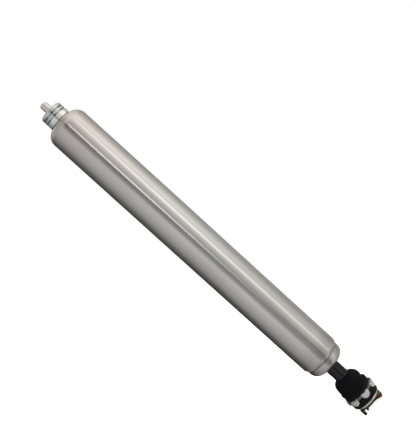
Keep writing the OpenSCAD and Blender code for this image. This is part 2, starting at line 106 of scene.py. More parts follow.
def spread(tree, source, low, high, start=0.3, end=0.7):
    """A value that runs from low to high as source runs from start to end."""
    ramp = tree.nodes.new("ShaderNodeMapRange")
    ramp.inputs["From Min"].default_value = start
    ramp.inputs["From Max"].default_value = end
    ramp.inputs["To Min"].default_value = low
    ramp.inputs["To Max"].default_value = high
    tree.links.new(source, ramp.inputs["Value"])
    return ramp.outputs["Result"]


def shade(tree, source, dark, light, start=0.3, end=0.7):
    """A colour that runs from dark to light as source runs from start to end."""
    ramp = tree.nodes.new("ShaderNodeValToRGB")
    for stop, at, colour in zip(ramp.color_ramp.elements, (start, end), (dark, light)):
        stop.position = at
        stop.color = (*colour, 1)
    tree.links.new(source, ramp.inputs["Fac"])
    return ramp.outputs["Color"]


def relief(tree, source, shader, depth, before=None):
    """Raises the surface by source, depth metres high, over an earlier relief."""
    bump = tree.nodes.new("ShaderNodeBump")
    bump.inputs["Distance"].default_value = depth
    tree.links.new(source, bump.inputs["Height"])
    if before is not None:
        tree.links.new(before, bump.inputs["Normal"])
    tree.links.new(bump.outputs["Normal"], shader.inputs["Normal"])
    return bump.outputs["Normal"]


def soft_edges(tree, radius):
    """The surface's normal, with every sharp edge broken by that radius."""
    edge = tree.nodes.new("ShaderNodeBevel")
    edge.samples = 6
    edge.inputs["Radius"].default_value = radius
    return edge.outputs["Normal"]


def dress(mat, *nodes):
    """Gives these CAD nodes that material."""
    for node in nodes:
        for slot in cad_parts[node].material_slots:
            slot.material = mat


black_oxide, tree, shader = finish("black_oxide", (0.005, 0.005, 0.006), 0.0, 0.4)
shader.inputs["Specular IOR Level"].default_value = 0.12
patches = cloud(tree, OXIDE_PATCH, 4)
tree.links.new(shade(tree, patches, OXIDE_DARK, OXIDE_LIGHT), shader.inputs["Base Color"])
tree.links.new(spread(tree, patches, *OXIDE_ROUGH), shader.inputs["Roughness"])
cuts = turned(tree, RACE_CUT_PITCH, outward=True)
rings = relief(tree, cuts, shader, 0.000004, soft_edges(tree, RACE_EDGE))
relief(tree, cloud(tree, 0.0003, 2), shader, 0.000006, rings)
dress(black_oxide, "lower_race", "upper_race")

# Ball cage
# Injection moulded nylon ring that keeps the balls apart, with a round lobe over the outside of each
# ball. The mould leaves it matt, with a faint grain, and painted shade darkens it between the lobes.

BALLS = 7
# Where round the ring one of the lobes stands, from +X
LOBE_AT = math.radians(-80)
# How wide round the ring the painted shade lies between two lobes, from -1 at none to 1 at all
LOBE_GAP_SHADE_EDGE = (0.0, 0.4)
NYLON_DARK = (0.4, 0.385, 0.37)
NYLON_LIGHT = (0.5, 0.48, 0.465)
NYLON_ROUGH = (0.42, 0.56)
NYLON_EDGE = 0.0003
CAGE_LOBE_GAP_SHADE = (0.1, 0.095, 0.09)


def tint(tree, amount, under, over):
    """The colour under, turned into the colour over by amount."""
    blend = tree.nodes.new("ShaderNodeMix")
    blend.data_type = "RGBA"
    tree.links.new(amount, blend.inputs["Factor"])
    for colour, socket in ((under, blend.inputs["A"]), (over, blend.inputs["B"])):
        if isinstance(colour, tuple):
            socket.default_value = (*colour, 1)
        else:
            tree.links.new(colour, socket)
    return blend.outputs["Result"]


def turns_round(tree):
    """How far round the spring's axis the point is, in turns from -X."""
    round_it = tree.nodes.new("ShaderNodeTexGradient")
    round_it.gradient_type = "RADIAL"
    tree.links.new(place(tree), round_it.inputs["Vector"])
    return round_it.outputs["Fac"]


cage_nylon, tree, shader = finish("cage_nylon", (0.45, 0.43, 0.42), 0.0, 0.48)
shader.inputs["Subsurface Weight"].default_value = 0.08
shader.inputs["Subsurface Radius"].default_value = (0.0012, 0.001, 0.0009)
flow = cloud(tree, 0.004, 3, (1, 1, 0.5))
clean = shade(tree, flow, NYLON_DARK, NYLON_LIGHT)
# A wave round the ring, with its crest midway between two lobes
phase = tree.nodes.new("ShaderNodeMath")
phase.operation = "MULTIPLY_ADD"
phase.inputs[1].default_value = 2 * math.pi * BALLS
phase.inputs[2].default_value = -BALLS * LOBE_AT
tree.links.new(turns_round(tree), phase.inputs[0])
wave = tree.nodes.new("ShaderNodeMath")
wave.operation = "COSINE"
tree.links.new(phase.outputs["Value"], wave.inputs[0])
# Painted shade: the ring's colour is darkened midway between two lobes, where it lies in shade
lobe_gap_shade = spread(tree, wave.outputs["Value"], 0.0, 1.0, *LOBE_GAP_SHADE_EDGE)
tree.links.new(tint(tree, lobe_gap_shade, clean, CAGE_LOBE_GAP_SHADE), shader.inputs["Base Color"])
tree.links.new(spread(tree, flow, *NYLON_ROUGH), shader.inputs["Roughness"])
relief(tree, cloud(tree, 0.00025, 3), shader, 0.000012, soft_edges(tree, NYLON_EDGE))
dress(cage_nylon, "ball_cage")

# Bearing balls
# Hardened steel balls, ground and polished. They run in dark grease, which leaves a film on them that
# is thicker in some places than in others.

FILM_THICK = (0.05, 0.048, 0.046)
FILM_THIN = (0.2, 0.2, 0.2)
BALL_ROUGH = (0.14, 0.36)

ball_greased, tree, shader = finish("ball_greased", (0.1, 0.1, 0.1), 1.0, 0.2)
film = cloud(tree, 0.0011, 5)
tree.links.new(spread(tree, film, *BALL_ROUGH), shader.inputs["Roughness"])
tree.links.new(shade(tree, film, FILM_THICK, FILM_THIN), shader.inputs["Base Color"])
dress(ball_greased, "bearing_balls")

# Piston rod
# Drawn steel bar, nitrided black and polished so that its seal runs on it. The foot carries the
# groove for the clip, and the top is turned down and riveted over the piston.

NITRIDE_DARK = (0.014, 0.014, 0.016)
NITRIDE_LIGHT = (0.04, 0.038, 0.042)
NITRIDE_ROUGH = (0.16, 0.34)
# How much longer than wide the marks of the drawing are
ROD_DRAW = 60

rod_nitride, tree, shader = finish("rod_nitride", (0.025, 0.025, 0.028), 0.85, 0.24)
drawn = cloud(tree, 0.0009, 3, (1, 1, ROD_DRAW))
tree.links.new(shade(tree, drawn, NITRIDE_DARK, NITRIDE_LIGHT), shader.inputs["Base Color"])
tree.links.new(spread(tree, drawn, *NITRIDE_ROUGH), shader.inputs["Roughness"])
relief(tree, drawn, shader, 0.000004)
dress(rod_nitride, "piston_rod")

# Rubber bumper
# Moulded rubber buffer that the tube's end lands on: a domed collar, a waist and a wider collar. It
# has taken a set, so its +X side is pressed down and shows the waist, which has bulged out at -X.

RUBBER_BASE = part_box("rubber_bumper")[0][2]
RUBBER_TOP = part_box("rubber_bumper")[1][2]
RUBBER_BORE = 0.00505
LOWER_COLLAR = 0.0102
UPPER_COLLAR = 0.0092
LOWER_COLLAR_TOP = RUBBER_BASE + 0.0028
LOWER_EDGE = 0.0012
DOME = 0.0054
DOME_START = RUBBER_TOP - DOME
WAIST_RISE = 0.0009
WAIST_HALF = 0.0011
# How far the collar's upper edge has sunk at +X, none at -X, and what the waist gains there in depth
SUNK = 0.0012
WAIST_DEPTH = 0.0004
WAIST_SWING = 0.0004
# Swell of the upper collar's foot on the other side, and how far up it reaches
SWELL = 0.0005
SWELL_REACH = 0.0026
PARTING_RIDGE = 0.00006
# Steps of the mesh: round the bumper, up its wall, and in degrees over its lower edge and its dome
RUBBER_STEPS = 144
WALL_STEPS = 44
EDGE_STEP = 15
DOME_STEP = 6
RUBBER_DARK = (0.001, 0.001, 0.0015)
RUBBER_LIGHT = (0.005, 0.005, 0.006)
RUBBER_ROUGH = (0.52, 0.78)


def rubber_radius(z, side):
    """Radius of the bumper's wall at height z; side runs from 1 at +X to -1 at -X."""
    if z < LOWER_COLLAR_TOP:
        nearest_end = min(z - RUBBER_BASE, LOWER_COLLAR_TOP - z)
        drop = max(0, LOWER_EDGE - nearest_end)
        return LOWER_COLLAR - LOWER_EDGE + math.sqrt(max(0, LOWER_EDGE ** 2 - drop ** 2))
    if z > DOME_START:
        radius = UPPER_COLLAR - DOME + math.sqrt(max(0, DOME ** 2 - (z - DOME_START) ** 2))
    else:
        radius = UPPER_COLLAR
    off_waist = (z - LOWER_COLLAR_TOP - WAIST_RISE) / WAIST_HALF
    radius -= (WAIST_DEPTH + WAIST_SWING * side) * math.exp(-off_waist ** 2)
    up_collar = (z - LOWER_COLLAR_TOP) / SWELL_REACH
    return radius + SWELL * (0.5 - 0.5 * side) * math.exp(-up_collar ** 2)


def rubber_outline(side):
    """Points (r, z) from the bore's foot, out under the base, up the wall and back over the dome."""
    flat = LOWER_COLLAR - LOWER_EDGE
    points = [(RUBBER_BORE, RUBBER_BASE)]
    for turn in range(0, 90, EDGE_STEP):
        a = math.radians(turn)
        points.append((flat + LOWER_EDGE * math.sin(a), RUBBER_BASE + LOWER_EDGE * (1 - math.cos(a))))
    climb = DOME_START - RUBBER_BASE - LOWER_EDGE
    for i in range(WALL_STEPS + 1):
        z = RUBBER_BASE + LOWER_EDGE + climb * i / WALL_STEPS
        points.append((rubber_radius(z, side), z))
    for turn in range(DOME_STEP, 90, DOME_STEP):
        a = math.radians(turn)
        points.append((UPPER_COLLAR - DOME + DOME * math.cos(a), DOME_START + DOME * math.sin(a)))
    kept = [point for point in points if point[0] > RUBBER_BORE or point == points[0]]
    top = DOME_START + math.sqrt(DOME ** 2 - (RUBBER_BORE - UPPER_COLLAR + DOME) ** 2)
    return kept + [(RUBBER_BORE, top)]


def stand(name, data):
    """A new object in the scene, of that mesh, lamp or camera."""
    thing = bpy.data.objects.new(name, data)
    bpy.context.collection.objects.link(thing)
    return thing


mesh = bpy.data.meshes.new("bumper_skin")
bm = bmesh.new()
rows = []
for i in range(RUBBER_STEPS):
    turn = 2 * math.pi * i / RUBBER_STEPS
    side = math.cos(turn)
    # The mould's two halves meet on opposite sides
    ridge = PARTING_RIDGE if i % (RUBBER_STEPS // 2) == RUBBER_STEPS // 8 else 0
    row = []
    for r, z in rubber_outline(side):
        x = r * math.cos(turn)
        pressed = SUNK * (0.5 + 0.5 * x / UPPER_COLLAR)
        sunk = pressed * min(1, (z - RUBBER_BASE) / (LOWER_COLLAR_TOP - RUBBER_BASE))
        out = ridge if r > UPPER_COLLAR - DOME else 0
        row.append(bm.verts.new((x + out * math.cos(turn), (r + out) * math.sin(turn), z - sunk)))
    rows.append(row)
for near, far in zip(rows, rows[1:] + rows[:1]):
    count = len(near)
    for k in range(count):
        bm.faces.new((near[k], far[k], far[(k + 1) % count], near[(k + 1) % count]))
bmesh.ops.recalc_face_normals(bm, faces=bm.faces)
bm.to_mesh(mesh)
bm.free()
mesh.shade_smooth()
bumper = stand("bumper_skin", mesh)

bumper_rubber, tree, shader = finish("bumper_rubber", (0.003, 0.003, 0.004), 0.0, 0.62)
shader.inputs["Specular IOR Level"].default_value = 0.11
bloom = cloud(tree, 0.003, 5)
tree.links.new(shade(tree, bloom, RUBBER_DARK, RUBBER_LIGHT), shader.inputs["Base Color"])
tree.links.new(spread(tree, bloom, *RUBBER_ROUGH), shader.inputs["Roughness"])
grain = relief(tree, cloud(tree, 0.0002, 3), shader, 0.000018, soft_edges(tree, 0.0002))
relief(tree, cloud(tree, 0.0012, 2), shader, 0.00003, grain)
mesh.materials.append(bumper_rubber)
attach(bumper, "rod")
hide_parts("rubber_bumper")

# Foot washer
# Thin stamped steel washer between the lower race and the clip. Its plating is a pale yellow, a little
# stained and rubbed.

WASHER_STAINED = (0.6, 0.54, 0.42)
WASHER_BRIGHT = (0.82, 0.78, 0.67)
WASHER_ROUGH = (0.42, 0.27)

washer_plate, tree, shader = finish("washer_plate", (0.74, 0.69, 0.57), 0.9, 0.34)
stain = cloud(tree, 0.0016, 4)
tree.links.new(shade(tree, stain, WASHER_STAINED, WASHER_BRIGHT), shader.inputs["Base Color"])
tree.links.new(spread(tree, stain, *WASHER_ROUGH), shader.inputs["Roughness"])
relief(tree, cloud(tree, 0.00018, 2), shader, 0.000006, soft_edges(tree, 0.0001))
dress(washer_plate, "foot_washer")

# Retaining clip
# Spring steel sheet, blanked and bent: a plate slotted to grip the rod's groove, two side walls and a
# closed end. Hardening leaves it brown black and redder at that end, and a pale straw painted highlight
# lies along its bend.

CLIP_LOW, CLIP_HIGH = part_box("retaining_clip")
CLIP_LENGTH = CLIP_HIGH[0] - CLIP_LOW[0]
# Where along the clip the red starts and is full, and where up the closed end the painted highlight on
# the bend does
RED_FROM, RED_FULL = 0.72, 0.9
BEND_HIGHLIGHT_FROM, BEND_HIGHLIGHT_FULL = 0.72, 0.95
BEND_HIGHLIGHT_MOST = 0.75
# Each colour of the scale, darkest and lightest, and of the painted highlight on the bend
SCALE_BROWN = ((0.01, 0.007, 0.004), (0.06, 0.038, 0.02))
SCALE_RED = ((0.06, 0.016, 0.01), (0.24, 0.064, 0.042))
BEND_HIGHLIGHT = ((0.15, 0.14, 0.065), (0.34, 0.32, 0.2))
SCALE_ROUGH = (0.46, 0.26)


def both(tree, a, b):
    """The product of two values."""
    product = tree.nodes.new("ShaderNodeMath")
    product.operation = "MULTIPLY"
    tree.links.new(a, product.inputs[0])
    tree.links.new(b, product.inputs[1])
    return product.outputs["Value"]


clip_brown, tree, shader = finish("clip_brown", (0.06, 0.035, 0.02), 0.6, 0.34)
axes = tree.nodes.new("ShaderNodeSeparateXYZ")
tree.links.new(place(tree), axes.inputs["Vector"])
red_at = [CLIP_LOW[0] + CLIP_LENGTH * part for part in (RED_FROM, RED_FULL)]
bend_highlight_at = [CLIP_HIGH[2] * part for part in (BEND_HIGHLIGHT_FROM, BEND_HIGHLIGHT_FULL)]
redder = spread(tree, axes.outputs["X"], 0.0, 1.0, *red_at)
higher = spread(tree, axes.outputs["Z"], 0.0, BEND_HIGHLIGHT_MOST, *bend_highlight_at)
scale = cloud(tree, 0.0022, 5)
brown, red, bend_highlight = [shade(tree, scale, *colours) for colours in (SCALE_BROWN, SCALE_RED, BEND_HIGHLIGHT)]
clip_colours = tint(tree, redder, brown, red)
# Painted highlight: a pale straw colour along the top of the closed end, where its bend catches the
# light
clip_colours = tint(tree, both(tree, redder, higher), clip_colours, bend_highlight)
tree.links.new(clip_colours, shader.inputs["Base Color"])
tree.links.new(spread(tree, scale, *SCALE_ROUGH), shader.inputs["Roughness"])
relief(tree, cloud(tree, 0.0004, 3), shader, 0.00001, soft_edges(tree, 0.00018))
dress(clip_brown, "retaining_clip")

# Piston, its seal and its washer
# Turned aluminium piston with a ring seal, held on the rod's spigot by a stamped steel washer under
# the riveted head. The other seals and the inner steel pieces have the same rubber and the same steel.

PISTON_ROUGH = (0.24, 0.36)
SEAL_DARK = (0.018, 0.018, 0.018)
SEAL_LIGHT = (0.042, 0.04, 0.038)
SEAL_ROUGH = (0.3, 0.52)
DRAWN_DARK = (0.48, 0.48, 0.48)
DRAWN_LIGHT = (0.66, 0.66, 0.66)
DRAWN_ROUGH = (0.26, 0.4)

piston_turned, tree, shader = finish("piston_turned", (0.75, 0.75, 0.76), 1.0, 0.3)
lathe = turned(tree, 0.0003)
tree.links.new(spread(tree, lathe, *PISTON_ROUGH), shader.inputs["Roughness"])
relief(tree, lathe, shader, 0.000005)
dress(piston_turned, "piston")

seal_rubber, tree, shader = finish("seal_rubber", (0.03, 0.03, 0.03), 0.0, 0.42)
oil = cloud(tree, 0.002, 3)
tree.links.new(shade(tree, oil, SEAL_DARK, SEAL_LIGHT), shader.inputs["Base Color"])
tree.links.new(spread(tree, oil, *SEAL_ROUGH), shader.inputs["Roughness"])
relief(tree, cloud(tree, 0.0003, 2), shader, 0.00001)
dress(seal_rubber, "piston_seal", "rod_seal", "head_seal", "spigot_seal", "stem_seals")

inner_steel, tree, shader = finish("inner_steel", (0.58, 0.58, 0.58), 1.0, 0.32)
drawn = cloud(tree, 0.0012, 3, (1, 1, 30))
tree.links.new(shade(tree, drawn, DRAWN_DARK, DRAWN_LIGHT), shader.inputs["Base Color"])
tree.links.new(spread(tree, drawn, *DRAWN_ROUGH), shader.inputs["Roughness"])
relief(tree, drawn, shader, 0.000006)
dress(inner_steel, "piston_washer", "inner_tube", "support_washer", "valve_stem")

# Rod guide and centring sleeve
# Moulded dark plastic: the guide fills the rolled end of the tube and steers the rod, and the sleeve
# holds the inner tube in the middle and lets the flow pass round it.

GUIDE_DARK = (0.075, 0.075, 0.078)
GUIDE_LIGHT = (0.125, 0.125, 0.128)
GUIDE_ROUGH = (0.44, 0.58)

guide_moulding, tree, shader = finish("guide_moulding", (0.1, 0.1, 0.1), 0.0, 0.5)
flow = cloud(tree, 0.005, 3)
tree.links.new(shade(tree, flow, GUIDE_DARK, GUIDE_LIGHT), shader.inputs["Base Color"])
tree.links.new(spread(tree, flow, *GUIDE_ROUGH), shader.inputs["Roughness"])
relief(tree, cloud(tree, 0.0003, 3), shader, 0.000012)
dress(guide_moulding, "rod_guide", "centring_sleeve")

# Pressure tube
# Seamless steel tube, centreless ground. Its top edge is spun in hot over the valve, which leaves it
# warmer in colour. Its lower end is swaged, creased by a wheel and rolled in under the rod guide.

# The crease, with painted shade along it: its middle and half its width
CREASE_Z = 0.0453
CREASE_HALF = 0.00032
CREASE_PAINTED_SHADE = (0.12, 0.11, 0.1)
CREASE_ROUGH = (0.6, 0.6, 0.6)
# Heights between which the darker steel towards the foot passes into the plain ground one
DARKER_BELOW = (0.052, 0.061)
FOOT_STEEL = (0.535, 0.525, 0.51)
# Heights between which the steel turns warm towards the shoulder
SHOULDER_WARM = (0.2, 0.272)
WARM_STEEL = (0.67, 0.61, 0.58)
GROUND_DARK = (0.63, 0.622, 0.602)
GROUND_LIGHT = (0.69, 0.687, 0.67)
GROUND_ROUGH = (0.185, 0.245)
# Stretch of the marks of the grinding, long round the tube and short along it
GRINDING = (25, 25, 0.35)


def height(tree):
    """The point's height above the spring's foot, in metres."""
    axes = tree.nodes.new("ShaderNodeSeparateXYZ")
    tree.links.new(place(tree), axes.inputs["Vector"])
    return axes.outputs["Z"]


tube_ground, tree, shader = finish("tube_ground", (0.66, 0.65, 0.635), 1.0, 0.2)
shader.inputs["Anisotropic"].default_value = 0.85
shader.inputs["Anisotropic Rotation"].default_value = 0.25
round_tube = tree.nodes.new("ShaderNodeTangent")
round_tube.direction_type = "RADIAL"
round_tube.axis = "Z"
tree.links.new(round_tube.outputs["Tangent"], shader.inputs["Tangent"])
girth = cloud(tree, 0.0009, 4, GRINDING)
film = cloud(tree, 0.02, 3, (1, 1, 2.5))
steel = shade(tree, film, GROUND_DARK, GROUND_LIGHT)
steel = tint(tree, spread(tree, height(tree), 0.0, 1.0, *SHOULDER_WARM), steel, WARM_STEEL)
steel = tint(tree, spread(tree, height(tree), 1.0, 0.0, *DARKER_BELOW), steel, FOOT_STEEL)
# Painted shade: a dark line painted along the crease
above = spread(tree, height(tree), 0.0, 1.0, CREASE_Z - CREASE_HALF, CREASE_Z - CREASE_HALF / 2)
below = spread(tree, height(tree), 1.0, 0.0, CREASE_Z + CREASE_HALF / 2, CREASE_Z + CREASE_HALF)
painted_shade = both(tree, above, below)
tree.links.new(tint(tree, painted_shade, steel, CREASE_PAINTED_SHADE), shader.inputs["Base Color"])
rough = tint(tree, painted_shade, spread(tree, girth, *GROUND_ROUGH), CREASE_ROUGH)
tree.links.new(rough, shader.inputs["Roughness"])
relief(tree, girth, shader, 0.00000025)
dress(tube_ground, "pressure_tube")

# Valve body
# Turned steel, zinc plated. Its neck stands out of the tube, with the head, gallery and spigot inside.
# Painted reflections make the plating bluish on one side and cream on the other, painted shade darkens
# the grooves and a painted shadow darkens the root.

NECK_RADIUS = 0.00775
NECK_ROOT = 0.26755
ZINC_COOL_REFLECTION = ((0.8, 0.825, 0.84), (0.92, 0.94, 0.93))
ZINC_WARM_REFLECTION = ((0.74, 0.75, 0.69), (0.86, 0.86, 0.78))
DULL_ZINC = (0.5, 0.56, 0.53)
DULL_MOST = 0.6
ZINC_ROUGH = (0.07, 0.13)
# Turns round from -X between which the plating passes from its painted cool reflection to its painted
# warm one
WARM_REFLECTION_FROM = (0.24, 0.3)
# Heights between which the plating gets duller, towards the grooves and the rim
DULL_FROM = (0.2712, 0.2718)
# The painted shade in the grooves: how deep in it is full and starts, and the heights where the rim ends
# it
GROOVE_SHADE_DEPTHS = (0.00035, 0.00008)
GROOVE_SHADE_TOP = (0.2744, 0.2746)
GROOVE_SHADE_MOST = 0.9
NECK_GROOVE_SHADE = (0.07, 0.08, 0.08)
# Where the painted shade in the grooves is darker, as painted dark reflections: turns round from -X, and
# how strong
GROOVE_SHADE_PATCHES = [(0.0, 0.6), (0.09, 0.3), (0.125, 1.0), (0.15, 1.0), (0.175, 0.35), (0.235, 0.3), (0.25, 1.0),
           (0.27, 1.0), (0.29, 0.35), (0.36, 0.3), (0.39, 1.0), (0.42, 1.0), (0.46, 0.4), (0.6, 0.8),
           (0.7, 0.3), (0.85, 0.9), (1.0, 0.6)]
# The painted shadow at the root: how far above it the shadow is full and ends
ROOT_SHADOW_RISE = (0.0001, 0.0007)
ROOT_SHADOW_MOST = 0.65
ROOT_PAINTED_SHADOW = (0.11, 0.08, 0.06)


def from_axis(tree):
    """How far the point is from the spring's axis, in metres."""
    flat = tree.nodes.new("ShaderNodeVectorMath")
    flat.operation = "MULTIPLY"
    flat.inputs[1].default_value = (1, 1, 0)
    tree.links.new(place(tree), flat.inputs[0])
    size = tree.nodes.new("ShaderNodeVectorMath")
    size.operation = "LENGTH"
    tree.links.new(flat.outputs["Vector"], size.inputs[0])
    return size.outputs["Value"]


neck_zinc, tree, shader = finish("neck_zinc", (0.76, 0.79, 0.78), 0.88, 0.12)
round_neck = turns_round(tree)
cast = cloud(tree, 0.003, 3)
cool_reflection, warm_reflection = [shade(tree, cast, *colours) for colours in (ZINC_COOL_REFLECTION, ZINC_WARM_REFLECTION)]
# Painted reflections: the plating is painted cool on one side and warm cream on the other
plating_and_reflections = tint(tree, spread(tree, round_neck, 0.0, 1.0, *WARM_REFLECTION_FROM), cool_reflection, warm_reflection)
plating_and_reflections = tint(tree, spread(tree, height(tree), 0.0, DULL_MOST, *DULL_FROM), plating_and_reflections, DULL_ZINC)
# Painted shade: the grooves are darkened, more in patches at set turns round, standing for dark
# reflections
groove = [NECK_RADIUS - depth for depth in GROOVE_SHADE_DEPTHS]
sunk = spread(tree, from_axis(tree), GROOVE_SHADE_MOST, 0.0, *groove)
below_rim = spread(tree, height(tree), 1.0, 0.0, *GROOVE_SHADE_TOP)
shade_patches = tree.nodes.new("ShaderNodeValToRGB")
ramp = shade_patches.color_ramp.elements
ramp[0].color = (GROOVE_SHADE_PATCHES[0][1],) * 3 + (1,)
ramp[1].color = (GROOVE_SHADE_PATCHES[-1][1],) * 3 + (1,)
for at, amount in GROOVE_SHADE_PATCHES[1:-1]:
    ramp.new(at).color = (amount, amount, amount, 1)
tree.links.new(round_neck, shade_patches.inputs["Fac"])
painted_shade = both(tree, both(tree, sunk, below_rim), shade_patches.outputs["Color"])
groove_shaded = tint(tree, painted_shade, plating_and_reflections, NECK_GROOVE_SHADE)
# Painted shadow: the neck is darkened just above its root, where it meets the tube
root_shadow = spread(tree, height(tree), ROOT_SHADOW_MOST, 0.0, *[NECK_ROOT + rise for rise in ROOT_SHADOW_RISE])
tree.links.new(tint(tree, root_shadow, groove_shaded, ROOT_PAINTED_SHADOW), shader.inputs["Base Color"])
lathe = turned(tree, 0.00016)
tree.links.new(spread(tree, lathe, *ZINC_ROUGH), shader.inputs["Roughness"])
relief(tree, lathe, shader, 0.0000012, soft_edges(tree, 0.00015))
dress(neck_zinc, "valve_body")

# Valve inside: stem guide, port sleeve, valve seat
# Three turned brass rings round the stem, stacked in the valve body's bore with the stem's ring seals
# between them.

BRASS_DARK = (0.68, 0.52, 0.25)
BRASS_LIGHT = (0.78, 0.62, 0.33)
BRASS_ROUGH = (0.22, 0.34)

valve_brass, tree, shader = finish("valve_brass", (0.74, 0.58, 0.29), 1.0, 0.28)
lathe = turned(tree, 0.0002)
tree.links.new(shade(tree, lathe, BRASS_DARK, BRASS_LIGHT), shader.inputs["Base Color"])
tree.links.new(spread(tree, lathe, *BRASS_ROUGH), shader.inputs["Roughness"])
relief(tree, lathe, shader, 0.000004)
dress(valve_brass, "stem_guide", "port_sleeve", "valve_seat")

# Release pin
# Turned steel pin with a rounded tip, which the seat's lever presses and has rubbed. Its collar keeps
# it in the neck.

PIN_DULL = (0.68, 0.64, 0.62)
PIN_RUBBED = (0.84, 0.79, 0.77)
PIN_ROUGH = (0.1, 0.18)

pin_turned, tree, shader = finish("pin_turned", (0.74, 0.7, 0.68), 0.84, 0.16)
lathe = turned(tree, 0.00014)
rub = cloud(tree, 0.0014, 4)
tree.links.new(shade(tree, rub, PIN_DULL, PIN_RUBBED), shader.inputs["Base Color"])
tree.links.new(spread(tree, lathe, *PIN_ROUGH), shader.inputs["Roughness"])
relief(tree, lathe, shader, 0.0000015)
dress(pin_turned, "release_pin")

# Studio: camera
# The picture was taken from a little above the spring's middle, with the camera rolled so that the
# spring lies across the frame from the pin at top left to the foot at bottom right.

LENS = 62.4
# How far the frame is shifted along the spring, the same share of its width both ways
SHIFT = 0.0227
EYE = (0.01561, -0.48167, 0.18256)
DOWN = math.radians(3.93)
ROLL = math.radians(47.71)

camera = stand("camera", bpy.data.cameras.new("camera"))
camera.data.lens = LENS
camera.data.sensor_width = 36
camera.data.shift_x = -SHIFT
camera.data.shift_y = SHIFT
camera.data.clip_start = 0.01
upright = Matrix.Rotation(math.radians(90) - DOWN, 4, "X")
camera.matrix_world = Matrix.Translation(EYE) @ upright @ Matrix.Rotation(-ROLL, 4, "Z")
bpy.context.scene.camera = camera

# Studio: cloth tent
# A round white cloth tent that only polished surfaces see. It is bright and warm on the right of the
# camera, dimmer on the left, and dark beside the camera itself and behind on the left.

TENT_RADIUS = 1.2
TENT_MIDDLE = 0.15
# Rows of the tent's mesh, in degrees of rise, and its columns, in degrees round
TENT_RISES = range(-88, 89, 4)
TENT_COLUMNS = 360
# Degrees round from the camera towards +X, then the cloth's brightness above the camera and below it
TENT = [
    (-180, 0.16, 0.12),
    (-149, 0.07, 0.06),
    (-133, 0.09, 0.06),
    (-111, 0.17, 0.13),
    (-94, 0.3, 0.27),
    (-80, 0.41, 0.38),
    (-55, 0.54, 0.52),
    (-32, 0.6, 0.61),
    (-21, 0.6, 0.66),
    (-16, 0.52, 0.6),
    (-10.5, 0.37, 0.48),
    (-5, 0.28, 0.39),
    (0, 0.27, 0.36),
    (6, 0.27, 0.34),
    (8.8, 0.6, 0.33),
    (10.6, 1.85, 0.32),
    (14.8, 1.85, 0.31),
    (17.6, 0.55, 0.36),
    (21, 0.54, 0.44),
    (32, 0.6, 0.55),
    (42, 0.82, 0.7),
    (49, 0.94, 0.76),
    (51, 1.5, 0.97),
    (57, 1.5, 0.97),
    (60, 1.1, 0.82),
    (67, 1.03, 0.68),
    (80, 1.2, 0.64),
    (94, 0.92, 0.55),
    (111, 0.66, 0.44),
    (133, 0.46, 0.38),
    (149, 0.4, 0.52),
    (165, 0.3, 0.3),
    (180, 0.16, 0.12),
]
# Degrees of rise between which the brightness below passes into the one above
ABOVE_FROM = (-14, 5)
# Stretches round the tent: the degrees where each starts, is full, fades and ends
NEAR_STRIP = (8.8, 10.8, 14.6, 17.2)
SIDE_STRIP = (46, 51, 56, 61)
LEFT_STRETCH = (-60, -26, -18, -8)
WARM_STRETCH = (2, 20, 150, 178)
# What the two bright strips lose higher up, and the degrees of rise where they start to and have lost it
NEAR_FADE = 0.7
NEAR_FADE_FROM = (12, 15.5)
SIDE_FADE = 0.5
SIDE_FADE_FROM = (10, 16)
# What the side strip and the left stretch gain at mid height, and what degrees of rise that is
MID_HEIGHT = (-16, -9, 1, 6)
SIDE_GAIN = 0.25
LEFT_GAIN = 0.11
LEFT_GAIN_TO = (3, -4)
# High up and underfoot the cloth is plain, brighter on the right, and it starts higher up in front
CROWN = (0.46, 0.97)
CROWN_FROM = (22, 46)
CROWN_HIGHER = (22, 26)
TOP = 0.42
TOP_FROM = (62, 84)
UNDERFOOT = (0.42, 0.52)
UNDERFOOT_FROM = (-28, -50)
UNDERFOOT_LOWER = (38, 36)
FRONT = (115, 50)
# A seam in the cloth leans across the front: where it runs at mid height, and its lean per degree up
SEAM_AT = 8.2
SEAM_LEAN = 0.28
SEAM_ENDS = (-20, 18)
# Degrees that it steps aside low down and high up, and where
SEAM_LOW_STEP = 3.4
SEAM_LOW_FROM = (-10, -14)
SEAM_HIGH_STEP = 5
SEAM_HIGH_FROM = (8, 16)
# Half its width, and what that gains high up
SEAM_HALF = 4.4
SEAM_FLARE = 4.5
SEAM_FLARE_FROM = (11, 18)
# How dark it is, what it gains low down, high up and at mid height, and where it ends
SEAM_DEPTH = 0.74
SEAM_LOW_GAIN = 0.2
SEAM_LOW_GAIN_FROM = (-8, -18)
SEAM_HIGH_GAIN = 0.1
SEAM_HIGH_GAIN_FROM = (15, 17)
SEAM_MID_GAIN = 0.12
SEAM_STOPS = (86, 70)
# What the warm cloth lacks in green and in blue
WARM_GREEN = 0.02
WARM_BLUE = 0.06


def along(table, angle):
    """The row of numbers that the table gives at that angle."""
    for low, high in zip(table, table[1:]):
        if low[0] <= angle <= high[0]:
            t = (angle - low[0]) / (high[0] - low[0])
            return [a + (b - a) * t for a, b in zip(low[1:], high[1:])]
    return list(table[-1][1:])


def eased(start, end, value):
    """From 0 to 1 as value runs from start to end, without a corner."""
    t = min(1, max(0, (value - start) / (end - start)))
    return t * t * (3 - 2 * t)


def within(stretch, value):
    """1 inside a stretch, eased to 0 at its two ends."""
    start, full, fading, end = stretch
    return eased(start, full, value) * eased(end, fading, value)


